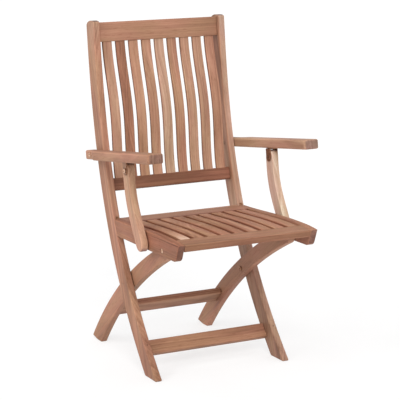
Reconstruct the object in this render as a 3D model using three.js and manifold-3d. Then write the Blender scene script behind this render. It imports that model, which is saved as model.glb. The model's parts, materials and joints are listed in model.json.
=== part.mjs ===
// Folding slatted armchair in teak with brass fittings, in millimetres.
// X runs across the chair, the sitter looks along -Y and Z is up.
import * as THREE from "three";
import { mergeVertices } from "three/addons/utils/BufferGeometryUtils.js";
import Module from "manifold-3d";

const wasm = await Module();
wasm.setup();

// Driving sizes of the whole chair
const CHAIR_HALF_WIDTH = 206;
const BOARD_THICK = 19.5;
const LAYER_GAP = 2;
const FIT_GAP = 0.3;
const REST_GAP = 0.3;
const CUT_OVERRUN = 40;
const FLOOR_Z = 0;

// Back stiles: a long curve from the front foot up to the top of the back
const STILE_WIDTH = 54.5;
const STILE_CROWN = 14;
const STILE_CROWN_SHARE = 0.35;
const STILE_FOOT = { y: -152.3, z: 0 };
const STILE_LOW_HANDLE = { y: 115.1, z: 286.8 };
const STILE_HIGH_HANDLE = { y: 187, z: 591 };
const STILE_TOP = { y: 210.4, z: 937 };

// Rear legs: an arched board from the seat pivot down to the rear foot
const LEG_TOP_WIDTH = 42;
const LEG_FOOT_WIDTH = 53;
const LEG_SOLE = 28;
const LEG_FOOT_RISE_DEG = 10;
const SEAT_PIVOT = { y: -245, z: 375.5 };
const LEG_HIGH_HANDLE = { y: -59.3, z: 296.8 };
const LEG_LOW_HANDLE = { y: 133.5, z: 180 };
const LEG_FOOT = { y: 288, z: 0 };
const CROSSING_PIVOT = { y: 22, z: 229 };

// Boards across the back frame, placed by shares along the stile's curve
const TOP_RAIL_SHARES = [0.9543, 1.0076];
const TOP_RAIL_THICK = 26;
const TOP_RAIL_INSET = 12;
const LOW_RAIL_SHARES = [0.5296, 0.5656];
const LOW_RAIL_THICK = 20;
const LOW_RAIL_INSET = 15;
const FRONT_STRETCHER_SHARES = [0.0665, 0.1034];
const STRETCHER_THICK = 18;
const FRONT_STRETCHER_INSET = 34;
const REAR_STRETCHER_SHARES = [0.7195, 0.7985];
const TENON_LENGTH = 9;
const TENON_SHOULDER = 4;

// Back slats
const SLAT_COUNT = 9;
const BACK_SLAT_WIDTH = 28;
const BACK_SLAT_THICK = 10;
const BACK_SLAT_INSET = 16;
const BACK_SLAT_BOW = 24;
const BACK_SLAT_SHARES = [0.5456, 0.967];

// Seat: its top line runs from between the stiles forward and falls a little at the front
const SEAT_REAR = { y: 90, z: 404.6 };
const SEAT_REAR_HANDLE = { y: -34, z: 404 };
const SEAT_FRONT_HANDLE = { y: -150, z: 417 };
const SEAT_BROW = { y: -292, z: 412.5 };
const SEAT_FALL_HANDLE = { y: -315, z: 411.6 };
const SEAT_LIP_HANDLE = { y: -334, z: 410 };
const SEAT_LIP = { y: -350, z: 407.5 };
const SEAT_RAIL_REAR_BOTTOM = 359;
const SEAT_RAIL_FRONT_BOTTOM = 361;
const SEAT_RAIL_CORNER = 19;
const SEAT_FACE_SLANT = 14;
const SEAT_FACE_LEAN_DEG = 25;
const SEAT_REAR_ROUND = 3;
const SEAT_SLAT_WIDTH = 28;
const SEAT_SIDE_GAP = 13;
const SEAT_SLAT_THICK = 14;
const SEAT_SLAT_REAR = 9;
const SEAT_SLAT_FRONT = -296;
const SEAT_CROSS_THICK = 19;
const FRONT_RAIL_FALL = 5;
const FRONT_RAIL_LEAN = 7;
const SEAT_LEDGE = 13;
const REAR_RAIL_REAR = 84;
const REAR_TENON_REAR = 60;
const BATTEN_Y = -148;
const BATTEN_WIDTH = 26;
const BATTEN_DEPTH = 18;

// Arms
const ARM_PIVOT = { y: 158, z: 578 };
const ARM_TILT_DEG = 6.3;
const ARM_WIDTH = 45;
const ARM_THICK = 26;
const ARM_REACH = 442;
const ARM_TAIL = 36;
const ARM_TONGUE = 30;
const ARM_TONGUE_FROM = 22;
const ARM_FLARE_TO = 62;
const ARM_CORNER = 13;
const ARM_TAIL_CORNER = 3;

// Arm supports and the brackets that hold them
const SUPPORT_WIDTH = 40;
const SUPPORT_TOP_PIVOT = { y: -74, z: 566 };
const SUPPORT_TOP_HANDLE = { y: -77.9, z: 492 };
const SUPPORT_LOW_HANDLE = { y: -96, z: 462 };
const SUPPORT_LOW_PIVOT = { y: -146, z: 382 };
const SUPPORT_TAIL = 26;
const EAR_THICK = 2.5;
const EAR_WIDTH = 25;
const EAR_STILE_GAP = 1;

// Fasteners
const BOLT_RADIUS = 3.5;
const BOLT_HEAD_RADIUS = 7;
const BOLT_HEAD_DEPTH = 3;
const BOLT_DOME = 1.2;
const BOLT_BROW = 0.4;
const SINK_GAP = 0.6;
const WASHER_RADIUS = 9;
const REST_PLATE_THICK = 2.5;
const REST_PLATE_WIDTH = 9;
const REST_PLATE_RISE = 54;
const REST_FOOT = 15;
const STUB_REACH = 2.8;

// Fineness of the curves, in counts
const LONG_STEPS = 36;
const SHORT_STEPS = 10;
const ARC_STEPS = 8;
const ROUND_STEPS = 20;
const REAR_RAIL_STEPS = 4;
const HALVINGS = 40;
const MERGE_SHARE = 0.0003;

// Colours, roughness and metalness of the two materials
const TEAK = { color: 0xb58468, roughness: 0.62, metalness: 0 };
const TEAK_SLAT = { color: 0xb07c60, roughness: 0.62, metalness: 0 };
const BRASS = { color: 0x9a7b48, roughness: 0.38, metalness: 0.95 };

const STILE_INNER = CHAIR_HALF_WIDTH - BOARD_THICK;
const LEG_OUTER = STILE_INNER - LAYER_GAP;
const LEG_INNER = LEG_OUTER - BOARD_THICK;
const EAR_INNER = CHAIR_HALF_WIDTH + EAR_STILE_GAP;
const SUPPORT_INNER = EAR_INNER + EAR_THICK + REST_GAP;
const SUPPORT_OUTER = SUPPORT_INNER + BOARD_THICK;
const EAR_OUTER = SUPPORT_OUTER + REST_GAP + EAR_THICK;
const ARM_INNER = CHAIR_HALF_WIDTH + LAYER_GAP;

const bezier = (a, b, c, d) =>
  new THREE.CubicBezierCurve(
    new THREE.Vector2(a.y, a.z),
    new THREE.Vector2(b.y, b.z),
    new THREE.Vector2(c.y, c.z),
    new THREE.Vector2(d.y, d.z),
  );

const stileLine = bezier(STILE_FOOT, STILE_LOW_HANDLE, STILE_HIGH_HANDLE, STILE_TOP);
const legLine = bezier(SEAT_PIVOT, LEG_HIGH_HANDLE, LEG_LOW_HANDLE, LEG_FOOT);
const supportLine = bezier(
  SUPPORT_TOP_PIVOT,
  SUPPORT_TOP_HANDLE,
  SUPPORT_LOW_HANDLE,
  SUPPORT_LOW_PIVOT,
);
const seatLine = bezier(SEAT_REAR, SEAT_REAR_HANDLE, SEAT_FRONT_HANDLE, SEAT_BROW);
const lipLine = bezier(SEAT_BROW, SEAT_FALL_HANDLE, SEAT_LIP_HANDLE, SEAT_LIP);

// The point at a share of a curve, moved sideways to the left of its run.
// A share over one runs straight on past the curve's end.
function beside(curve, share, offset) {
  const inside = Math.min(share, 1);
  const run = curve.getTangent(inside);
  const point = curve.getPoint(inside);
  point.addScaledVector(run, (share - inside) * curve.getLength());
  return new THREE.Vector2(point.x - run.y * offset, point.y + run.x * offset);
}

// The share at which a steadily rising or falling value reaches a target
function shareWhere(valueAt, target) {
  let low = 0;
  let high = 1;
  const falls = valueAt(low) > valueAt(high);
  for (let i = 0; i < HALVINGS; i++) {
    const middle = (low + high) / 2;
    if (valueAt(middle) > target === falls) low = middle;
    else high = middle;
  }
  return (low + high) / 2;
}

// A run of points beside a curve between two shares
function runBeside(curve, shares, offset, steps) {
  const points = [];
  for (let i = 0; i <= steps; i++) {
    const share = shares[0] + ((shares[1] - shares[0]) * i) / steps;
    const away = typeof offset === "function" ? offset(i / steps) : offset;
    points.push(beside(curve, share, away));
  }
  return points;
}

// Half an ellipse from one point to another, bulging along the given direction.
// A square share under one fills out its second half towards a square corner.
function crown(from, to, along, height, squareShare = 1) {
  const middle = from.clone().add(to).multiplyScalar(0.5);
  const arm = from.clone().sub(middle);
  const points = [];
  for (let i = 1; i < ARC_STEPS + ARC_STEPS; i++) {
    const turn = (Math.PI * i) / (ARC_STEPS + ARC_STEPS);
    const side = arm.clone().multiplyScalar(Math.cos(turn));
    const fullness = turn > Math.PI / 2 ? squareShare : 1;
    const out = along.clone().multiplyScalar(height * Math.sin(turn) ** fullness);
    points.push(middle.clone().add(side).add(out));
  }
  return points;
}

// The outline of a board that follows a curve, from a near offset to a far one
function boardOutline(curve, shares, near, far, steps, crowns = [0, 0], squareShare = 1) {
  const nearSide = runBeside(curve, shares, near, steps);
  const farSide = runBeside(curve, shares, far, steps).reverse();
  const points = [...nearSide];
  if (crowns[1]) {
    const along = curve.getTangent(shares[1]);
    points.push(...crown(nearSide[steps], farSide[0], along, crowns[1], squareShare));
  }
  points.push(...farSide);
  if (crowns[0]) {
    const along = curve.getTangent(shares[0]).negate();
    points.push(...crown(farSide[steps], nearSide[0], along, crowns[0]));
  }
  return points;
}

// Moves an outline's end points along the curve's end direction
function lengthened(points, indices, direction, length) {
  for (const i of indices) points[i].addScaledVector(direction, length);
  return points;
}

function circle(centre, radius) {
  const path = new THREE.Path();
  path.absarc(centre.y, centre.z, radius, 0, Math.PI + Math.PI, false);
  return path;
}

// A flat board whose outline lies in the YZ plane and whose thickness runs along X
function boardX(points, fromX, toX, holes = []) {
  const shape = new THREE.Shape(points);
  for (const hole of holes) shape.holes.push(circle(hole, hole.radius));
  const geometry = new THREE.ExtrudeGeometry(shape, {
    depth: toX - fromX,
    bevelEnabled: false,
    curveSegments: ROUND_STEPS / 2,
  });
  const yAxis = new THREE.Vector3(0, 1, 0);
  const zAxis = new THREE.Vector3(0, 0, 1);
  const xAxis = new THREE.Vector3(1, 0, 0);
  geometry.applyMatrix4(new THREE.Matrix4().makeBasis(yAxis, zAxis, xAxis));
  return geometry.translate(fromX, 0, 0);
}

// Geometry to and from the solids that the booleans work on
function solid(geometry) {
  const bare = geometry.clone();
  bare.deleteAttribute("normal");
  bare.deleteAttribute("uv");
  const merged = mergeVertices(bare, FIT_GAP * MERGE_SHARE);
  return new wasm.Manifold(
    new wasm.Mesh({
      numProp: 3,
      vertProperties: new Float32Array(merged.attributes.position.array),
      triVerts: new Uint32Array(merged.index.array),
    }),
  );
}

function surface(body) {
  const mesh = body.getMesh();
  const geometry = new THREE.BufferGeometry();
  geometry.setAttribute("position", new THREE.BufferAttribute(mesh.vertProperties, 3));
  geometry.setIndex(new THREE.BufferAttribute(mesh.triVerts, 1));
  const faceted = geometry.toNonIndexed();
  faceted.computeVertexNormals();
  return faceted;
}

// A piece turned about an axis along X: profile points are [radius, distance along X]
function turnedX(profile, x, centre, side = 1) {
  const points = profile.map(([radius, along]) => new THREE.Vector2(radius, along));
  const geometry = new THREE.LatheGeometry(points, ROUND_STEPS);
  geometry.rotateZ((-side * Math.PI) / 2);
  return geometry.translate(x, centre.y, centre.z);
}

function rodX(radius, fromX, toX, centre) {
  const length = toX - fromX;
  const profile = [
    [0, 0],
    [radius, 0],
    [radius, length],
    [0, length],
  ];
  return turnedX(profile, fromX, centre);
}

function box(minimum, maximum) {
  const size = maximum.clone().sub(minimum);
  const centre = maximum.clone().add(minimum).multiplyScalar(0.5);
  const geometry = new THREE.BoxGeometry(size.x, size.y, size.z);
  return geometry.translate(centre.x, centre.y, centre.z);
}

const chair = new THREE.Group();
chair.name = "folding_armchair";

function addPiece(name, geometry, look) {
  const mesh = new THREE.Mesh(geometry, new THREE.MeshStandardMaterial(look));
  mesh.name = name;
  chair.add(mesh);
}

// Both sides of the chair: the right-hand piece, and its mirror image on the left
function addPair(name, body, look) {
  addPiece("right_" + name, surface(body), look);
  addPiece("left_" + name, surface(body.mirror([1, 0, 0])), look);
}

const floorCut = solid(
  box(
    new THREE.Vector3(-CHAIR_HALF_WIDTH - CUT_OVERRUN, SEAT_LIP.y, FLOOR_Z - STILE_WIDTH - CUT_OVERRUN),
    new THREE.Vector3(CHAIR_HALF_WIDTH + CUT_OVERRUN, LEG_FOOT.y + STILE_WIDTH + CUT_OVERRUN, FLOOR_Z),
  ),
);

// Cross boards: a body between two inner faces, with a tenon into each side board
function crossBoard(outlineOf, innerX) {
  const body = solid(boardX(outlineOf(0), -innerX + FIT_GAP, innerX - FIT_GAP));
  const reach = innerX + TENON_LENGTH;
  const tenon = solid(boardX(outlineOf(TENON_SHOULDER), -reach, reach));
  const pocketReach = reach + FIT_GAP;
  const pocket = solid(boardX(outlineOf(TENON_SHOULDER - FIT_GAP), -pocketReach, pocketReach));
  return { body: body.add(tenon), pocket };
}

// The outline of a straight cross board beside a curve, drawn in by a shoulder
function crossOutline(curve, shares, near, far) {
  return (shoulder) => {
    const length = curve.getPoint(shares[0]).distanceTo(curve.getPoint(shares[1]));
    const trim = ((shares[1] - shares[0]) * shoulder) / length;
    const trimmed = [shares[0] + trim, shares[1] - trim];
    return boardOutline(curve, trimmed, near + shoulder, far - shoulder, 1);
  };
}

// Back frame
const stileHalf = STILE_WIDTH / 2;
const topRailFront = stileHalf - TOP_RAIL_INSET;
const topRail = crossBoard(
  crossOutline(stileLine, TOP_RAIL_SHARES, topRailFront - TOP_RAIL_THICK, topRailFront),
  STILE_INNER,
);
const lowRailFront = stileHalf - LOW_RAIL_INSET;
const lowRail = crossBoard(
  crossOutline(stileLine, LOW_RAIL_SHARES, lowRailFront - LOW_RAIL_THICK, lowRailFront),
  STILE_INNER,
);
const stretcherFront = stileHalf - FRONT_STRETCHER_INSET;
const frontStretcher = crossBoard(
  crossOutline(
    stileLine,
    FRONT_STRETCHER_SHARES,
    stretcherFront - STRETCHER_THICK,
    stretcherFront,
  ),
  STILE_INNER,
);

const looseRadius = BOLT_RADIUS + FIT_GAP;
const looseHole = (centre) => ({ ...centre, radius: looseRadius });

function makeStile() {
  const points = boardOutline(
    stileLine,
    [0, 1],
    -stileHalf,
    stileHalf,
    LONG_STEPS,
    [0, STILE_CROWN],
    STILE_CROWN_SHARE,
  );
  const down = stileLine.getTangent(0).negate();
  lengthened(points, [0, points.length - 1], down, STILE_WIDTH);
  const holes = [looseHole(CROSSING_PIVOT), looseHole(ARM_PIVOT)];
  const board = solid(boardX(points, STILE_INNER, CHAIR_HALF_WIDTH, holes));
  return board
    .subtract(floorCut)
    .subtract(topRail.pocket)
    .subtract(lowRail.pocket)
    .subtract(frontStretcher.pocket);
}

// Back slats: S-curved strips between the lower rail and the top rail
function slatOffset(extra) {
  return (share) => {
    const swell = Math.sin(Math.PI * share) ** 2;
    const front = stileHalf - BACK_SLAT_INSET + BACK_SLAT_BOW * swell;
    return front + extra;
  };
}

function backSlat(centreX, grown) {
  const ahead = slatOffset(grown);
  const behind = slatOffset(-BACK_SLAT_THICK - grown);
  const front = runBeside(stileLine, BACK_SLAT_SHARES, ahead, LONG_STEPS / 2);
  const rear = runBeside(stileLine, BACK_SLAT_SHARES, behind, LONG_STEPS / 2);
  const points = [...rear, ...front.reverse()];
  const lowEnds = [0, points.length - 1];
  const highEnds = [rear.length - 1, rear.length];
  lengthened(points, lowEnds, stileLine.getTangent(BACK_SLAT_SHARES[0]), -grown);
  lengthened(points, highEnds, stileLine.getTangent(BACK_SLAT_SHARES[1]), grown);
  const half = BACK_SLAT_WIDTH / 2 + grown;
  return solid(boardX(points, centreX - half, centreX + half));
}

const backGap = (STILE_INNER * 2 - SLAT_COUNT * BACK_SLAT_WIDTH) / (SLAT_COUNT + 1);
const backPitch = backGap + BACK_SLAT_WIDTH;
const slatPlace = (i, pitch) => (i - (SLAT_COUNT - 1) / 2) * pitch;

addPair("stile", makeStile(), TEAK);
let topRailBody = topRail.body;
let lowRailBody = lowRail.body;
for (let i = 0; i < SLAT_COUNT; i++) {
  const pocket = backSlat(slatPlace(i, backPitch), FIT_GAP);
  topRailBody = topRailBody.subtract(pocket);
  lowRailBody = lowRailBody.subtract(pocket);
  addPiece("back_slat_" + (i + 1), surface(backSlat(slatPlace(i, backPitch), 0)), TEAK_SLAT);
}
addPiece("top_rail", surface(topRailBody), TEAK);
addPiece("lower_back_rail", surface(lowRailBody), TEAK);
addPiece("front_stretcher", surface(frontStretcher.body), TEAK);

// Rear legs, which widen towards the foot, and their stretcher
const legHalf = (share) => (LEG_TOP_WIDTH + (LEG_FOOT_WIDTH - LEG_TOP_WIDTH) * share) / 2;
const legFront = (share) => -legHalf(share);
const rearStretcher = crossBoard(
  crossOutline(legLine, REAR_STRETCHER_SHARES, -STRETCHER_THICK / 2, STRETCHER_THICK / 2),
  LEG_INNER,
);

// Under a rear foot a flat sole comes first, and the cut rises rearwards behind it
function makeFootCut() {
  const heightAt = (share) => beside(legLine, share, legFront(share)).y;
  const toe = shareWhere(heightAt, FLOOR_Z);
  const toeY = beside(legLine, toe, legFront(toe)).x;
  const reach = LEG_FOOT_WIDTH * 2;
  const block = box(
    new THREE.Vector3(LEG_INNER - CUT_OVERRUN, -reach, -reach),
    new THREE.Vector3(LEG_OUTER + CUT_OVERRUN, reach, 0),
  );
  block.rotateX(THREE.MathUtils.degToRad(LEG_FOOT_RISE_DEG));
  return solid(block.translate(0, toeY + LEG_SOLE, FLOOR_Z));
}

function makeRearLeg() {
  const points = boardOutline(legLine, [0, 1], legFront, legHalf, LONG_STEPS, [legHalf(0), 0]);
  const down = legLine.getTangent(1);
  lengthened(points, [LONG_STEPS, LONG_STEPS + 1], down, LEG_FOOT_WIDTH);
  const holes = [looseHole(CROSSING_PIVOT), looseHole(SEAT_PIVOT)];
  const board = solid(boardX(points, LEG_INNER, LEG_OUTER, holes));
  return board.subtract(floorCut).subtract(makeFootCut()).subtract(rearStretcher.pocket);
}

addPair("rear_leg", makeRearLeg(), TEAK);
addPiece("rear_stretcher", surface(rearStretcher.body), TEAK);

// Seat cross rails: both follow the seat's top line and carry a ledge for the slats
function ledgeOutline(curvePoints, ledgeEnd, shoulder) {
  const top = curvePoints.map((p) => new THREE.Vector2(p.x, p.y - shoulder));
  const bottom = [...curvePoints]
    .reverse()
    .map((p) => new THREE.Vector2(p.x, p.y - SEAT_CROSS_THICK + shoulder));
  bottom[0].x += ledgeEnd.lean;
  if (!shoulder) {
    const slatEnd = curvePoints[ledgeEnd.first ? 0 : curvePoints.length - 1];
    const high = slatEnd.y - SEAT_SLAT_THICK - REST_GAP;
    const low = slatEnd.y - SEAT_CROSS_THICK;
    const ledge = [
      new THREE.Vector2(slatEnd.x, high),
      new THREE.Vector2(slatEnd.x + ledgeEnd.reach, high),
      new THREE.Vector2(slatEnd.x + ledgeEnd.reach, low),
    ];
    if (ledgeEnd.first) return [...top, ...bottom.slice(0, -1), ...ledge.reverse()];
    return [...top, ...ledge, ...bottom.slice(1)];
  }
  return [...top, ...bottom];
}

// Points of the seat's top line between two places, its fall at the front included
function seatTop(fromY, toY, steps) {
  const points = [];
  for (let i = 0; i <= steps; i++) {
    const y = fromY + ((toY - fromY) * i) / steps;
    const curve = y > SEAT_BROW.y ? seatLine : lipLine;
    points.push(curve.getPoint(shareWhere((share) => curve.getPoint(share).x, y)));
  }
  return points;
}

const frontCross = crossBoard((shoulder) => {
  const start = seatTop(SEAT_SLAT_FRONT, SEAT_SLAT_FRONT, 1)[0];
  const line = [
    new THREE.Vector2(start.x - REST_GAP - shoulder, start.y),
    new THREE.Vector2(SEAT_LIP.y + shoulder, start.y - FRONT_RAIL_FALL),
  ];
  const ledgeEnd = { first: true, reach: SEAT_LEDGE, lean: FRONT_RAIL_LEAN };
  return ledgeOutline(line, ledgeEnd, shoulder).reverse();
}, STILE_INNER);
const rearCross = crossBoard((shoulder) => {
  const to = SEAT_SLAT_REAR + REST_GAP + shoulder;
  const from = shoulder ? REAR_TENON_REAR - shoulder : REAR_RAIL_REAR;
  const line = seatTop(from, to, REAR_RAIL_STEPS);
  const ledgeEnd = { first: false, reach: -SEAT_LEDGE, lean: 0 };
  return ledgeOutline(line, ledgeEnd, shoulder).reverse();
}, STILE_INNER);

const battenTop = seatTop(BATTEN_Y, BATTEN_Y, 1)[0].y - SEAT_SLAT_THICK - REST_GAP * 2;
const batten = crossBoard((shoulder) => {
  const half = BATTEN_WIDTH / 2 - shoulder;
  const low = battenTop - BATTEN_DEPTH + shoulder;
  const high = battenTop - shoulder;
  return [
    new THREE.Vector2(BATTEN_Y - half, low),
    new THREE.Vector2(BATTEN_Y + half, low),
    new THREE.Vector2(BATTEN_Y + half, high),
    new THREE.Vector2(BATTEN_Y - half, high),
  ];
}, STILE_INNER);

// The share at which a line beside the stile reaches a height
const stileShareAt = (offset, height) =>
  shareWhere((share) => beside(stileLine, share, offset).y, height);

// Side rails: top line, slanted front face, rounded lower corner and a straight underside
function makeSeatRail() {
  const standOff = stileHalf + REST_PLATE_THICK + REST_GAP * 2;
  const faceShares = [
    stileShareAt(standOff, SEAT_RAIL_REAR_BOTTOM),
    stileShareAt(standOff, SEAT_REAR.z - SEAT_REAR_ROUND),
  ];
  const rearFace = runBeside(stileLine, faceShares, standOff, ARC_STEPS);
  const rearTop = rearFace[ARC_STEPS].x - SEAT_REAR_ROUND;
  const top = seatTop(rearTop, SEAT_BROW.y, LONG_STEPS / 2);
  const lip = seatTop(SEAT_BROW.y - REST_GAP, SEAT_LIP.y, SHORT_STEPS);
  const corner = new THREE.Vector2(
    SEAT_LIP.y + SEAT_FACE_SLANT + SEAT_RAIL_CORNER,
    SEAT_RAIL_FRONT_BOTTOM + SEAT_RAIL_CORNER,
  );
  const lean = THREE.MathUtils.degToRad(SEAT_FACE_LEAN_DEG);
  const round = [];
  for (let i = 0; i <= ARC_STEPS; i++) {
    const turn = Math.PI + lean + (Math.PI / 2 - lean) * (i / ARC_STEPS);
    const reach = new THREE.Vector2(Math.cos(turn), Math.sin(turn));
    round.push(corner.clone().addScaledVector(reach, SEAT_RAIL_CORNER));
  }
  const points = [...rearFace, ...top, ...lip, ...round];
  const board = boardX(points, STILE_INNER, CHAIR_HALF_WIDTH, [looseHole(SEAT_PIVOT)]);
  const sinkRadius = BOLT_HEAD_RADIUS + FIT_GAP;
  const sinkFrom = CHAIR_HALF_WIDTH - BOLT_HEAD_DEPTH - SINK_GAP;
  const sink = rodX(sinkRadius, sinkFrom, CHAIR_HALF_WIDTH + CUT_OVERRUN, SEAT_PIVOT);
  return solid(board)
    .subtract(solid(sink))
    .subtract(frontCross.pocket)
    .subtract(rearCross.pocket)
    .subtract(batten.pocket);
}

addPair("seat_rail", makeSeatRail(), TEAK);
addPiece("seat_front_rail", surface(frontCross.body), TEAK);
addPiece("seat_rear_rail", surface(rearCross.body), TEAK);
addPiece("seat_batten", surface(batten.body), TEAK);

const seatSlatSpan = (STILE_INNER - SEAT_SIDE_GAP) * 2 - SEAT_SLAT_WIDTH;
const seatPitch = seatSlatSpan / (SLAT_COUNT - 1);
for (let i = 0; i < SLAT_COUNT; i++) {
  const line = seatTop(SEAT_SLAT_REAR, SEAT_SLAT_FRONT, LONG_STEPS / 2);
  const under = [...line].reverse().map((p) => new THREE.Vector2(p.x, p.y - SEAT_SLAT_THICK));
  const x = slatPlace(i, seatPitch);
  const half = SEAT_SLAT_WIDTH / 2;
  const slat = boardX([...line, ...under], x - half, x + half);
  addPiece("seat_slat_" + (i + 1), slat, TEAK_SLAT);
}

// Armrests: a plan outline with a rear tongue beside the stile and rounded front corners
const armTilt = THREE.MathUtils.degToRad(ARM_TILT_DEG);
const armPlace = new THREE.Matrix4()
  .makeTranslation(0, ARM_PIVOT.y, ARM_PIVOT.z)
  .multiply(new THREE.Matrix4().makeRotationX(-armTilt));

function makeArmrest() {
  const outer = ARM_INNER + ARM_WIDTH;
  const tongue = ARM_INNER + ARM_TONGUE;
  const plan = new THREE.Shape();
  plan.moveTo(ARM_INNER, ARM_TAIL);
  plan.lineTo(ARM_INNER, -ARM_REACH + ARM_CORNER);
  plan.absarc(ARM_INNER + ARM_CORNER, -ARM_REACH + ARM_CORNER, ARM_CORNER, Math.PI, Math.PI * 1.5);
  plan.absarc(outer - ARM_CORNER, -ARM_REACH + ARM_CORNER, ARM_CORNER, -Math.PI / 2, 0);
  plan.lineTo(outer, -ARM_FLARE_TO);
  plan.bezierCurveTo(
    outer,
    -ARM_TONGUE_FROM - ARM_CORNER,
    tongue,
    -ARM_TONGUE_FROM - ARM_CORNER,
    tongue,
    -ARM_TONGUE_FROM + ARM_CORNER,
  );
  plan.lineTo(tongue, ARM_TAIL - ARM_TAIL_CORNER);
  plan.lineTo(tongue - ARM_TAIL_CORNER, ARM_TAIL);
  const geometry = new THREE.ExtrudeGeometry(plan, {
    depth: ARM_THICK,
    bevelEnabled: false,
    curveSegments: ARC_STEPS,
  });
  geometry.translate(0, 0, -ARM_THICK / 2).applyMatrix4(armPlace);
  const hole = rodX(looseRadius, ARM_INNER - CUT_OVERRUN, outer + CUT_OVERRUN, ARM_PIVOT);
  return solid(geometry).subtract(solid(hole));
}

addPair("armrest", makeArmrest(), TEAK);

function makeSupport() {
  const half = SUPPORT_WIDTH / 2;
  const crowns = [half, SUPPORT_TAIL];
  const points = boardOutline(supportLine, [0, 1], -half, half, LONG_STEPS / 2, crowns);
  const board = boardX(points, SUPPORT_INNER, SUPPORT_OUTER, [looseHole(SUPPORT_TOP_PIVOT)]);
  const stubEnd = SUPPORT_INNER + BOARD_THICK / 2 + FIT_GAP;
  const bore = rodX(looseRadius, SUPPORT_INNER - CUT_OVERRUN, stubEnd, SUPPORT_LOW_PIVOT);
  return solid(board).subtract(solid(bore));
}

addPair("arm_support", makeSupport(), TEAK);

// Brackets: two ears and a plate under the armrest, around the support's top
function makeBracket() {
  const toArm = armPlace.clone().invert();
  const pin = new THREE.Vector3(0, SUPPORT_TOP_PIVOT.y, SUPPORT_TOP_PIVOT.z).applyMatrix4(toArm);
  const top = -ARM_THICK / 2 - REST_GAP;
  const half = EAR_WIDTH / 2;
  const outline = [
    new THREE.Vector2(pin.y + half, top),
    new THREE.Vector2(pin.y - half, top),
    new THREE.Vector2(pin.y - half, pin.z),
    ...crown(
      new THREE.Vector2(pin.y - half, pin.z),
      new THREE.Vector2(pin.y + half, pin.z),
      new THREE.Vector2(0, -1),
      half,
    ),
    new THREE.Vector2(pin.y + half, pin.z),
  ];
  const hole = { y: pin.y, z: pin.z, radius: looseRadius };
  const whole = solid(boardX(outline, EAR_INNER, EAR_OUTER, [hole]));
  const inside = box(
    new THREE.Vector3(EAR_INNER + EAR_THICK, pin.y - CUT_OVERRUN, pin.z - CUT_OVERRUN),
    new THREE.Vector3(EAR_OUTER - EAR_THICK, pin.y + CUT_OVERRUN, top - EAR_THICK),
  );
  const channel = surface(whole.subtract(solid(inside)));
  return solid(channel.applyMatrix4(armPlace));
}

addPair("arm_bracket", makeBracket(), BRASS);

// Bolts: a domed head outside, a plain shank and a flat end cap
function boltProfile(length) {
  return [
    [0, 0],
    [BOLT_RADIUS, 0],
    [BOLT_RADIUS, length],
    [BOLT_HEAD_RADIUS, length],
    [BOLT_HEAD_RADIUS, length + BOLT_HEAD_DEPTH - BOLT_DOME],
    [BOLT_HEAD_RADIUS - BOLT_DOME, length + BOLT_HEAD_DEPTH - BOLT_BROW],
    [0, length + BOLT_HEAD_DEPTH],
  ];
}

// A bolt with its head at the high-x end, or at the low-x end when turned round
function bolt(fromX, toX, centre, headOut) {
  const profile = boltProfile(toX - fromX);
  return solid(headOut ? turnedX(profile, fromX, centre) : turnedX(profile, toX, centre, -1));
}

const crossingOut = CHAIR_HALF_WIDTH + REST_GAP;
addPair("crossing_bolt", bolt(LEG_INNER - REST_GAP, crossingOut, CROSSING_PIVOT, false), BRASS);
const seatBoltHead = CHAIR_HALF_WIDTH - BOLT_HEAD_DEPTH - SINK_GAP + REST_GAP;
addPair("seat_bolt", bolt(LEG_INNER - BOLT_HEAD_DEPTH, seatBoltHead, SEAT_PIVOT, true), BRASS);
const armBoltHead = ARM_INNER + ARM_TONGUE + REST_GAP;
addPair("arm_bolt", bolt(STILE_INNER, armBoltHead, ARM_PIVOT, true), BRASS);
addPair(
  "bracket_bolt",
  bolt(EAR_INNER, EAR_OUTER + REST_GAP, SUPPORT_TOP_PIVOT, true),
  BRASS,
);
const stubTip = SUPPORT_INNER - STUB_REACH;
const stubRoot = SUPPORT_INNER + BOARD_THICK / 2;
addPair(
  "support_stub",
  solid(rodX(BOLT_RADIUS, stubTip, stubRoot, SUPPORT_LOW_PIVOT)),
  BRASS,
);

// Washers keep the boards of neighbouring layers apart
function washer(fromX, toX, centre) {
  const profile = [
    [looseRadius, 0],
    [WASHER_RADIUS, 0],
    [WASHER_RADIUS, toX - fromX],
    [looseRadius, toX - fromX],
    [looseRadius, 0],
  ];
  return solid(turnedX(profile, fromX, centre));
}

const gapIn = LEG_OUTER + REST_GAP;
const gapOut = STILE_INNER - REST_GAP;
addPair("crossing_washer", washer(gapIn, gapOut, CROSSING_PIVOT), BRASS);
addPair("seat_washer", washer(gapIn, gapOut, SEAT_PIVOT), BRASS);

// Seat rests: brass angles on the stiles' front faces that the seat's rear sits on
function makeSeatRest() {
  const back = stileHalf + REST_GAP;
  const front = back + REST_PLATE_THICK;
  const footLow = SEAT_RAIL_REAR_BOTTOM - REST_GAP - REST_PLATE_THICK;
  const plateShares = [
    stileShareAt(back, footLow),
    stileShareAt(back, footLow + REST_PLATE_RISE),
  ];
  const plate = boardOutline(stileLine, plateShares, back, front, ARC_STEPS / 2);
  const half = REST_PLATE_WIDTH / 2;
  const middle = CHAIR_HALF_WIDTH - BOARD_THICK / 2;
  const upright = solid(boardX(plate, middle - half, middle + half));
  const heel = beside(stileLine, plateShares[0], back);
  const foot = box(
    new THREE.Vector3(middle - half, heel.x - REST_FOOT, footLow),
    new THREE.Vector3(middle + half, heel.x - REST_GAP, footLow + REST_PLATE_THICK),
  );
  return upright.add(solid(foot));
}

addPair("seat_rest", makeSeatRest(), BRASS);

// The frame's origin sits on the floor under the middle of the whole chair
const bounds = new THREE.Box3().setFromObject(chair);
const middle = bounds.getCenter(new THREE.Vector3());
chair.position.set(-middle.x, -middle.y, -bounds.min.z);

export default chair;
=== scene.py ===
import json
import math
import random

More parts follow.
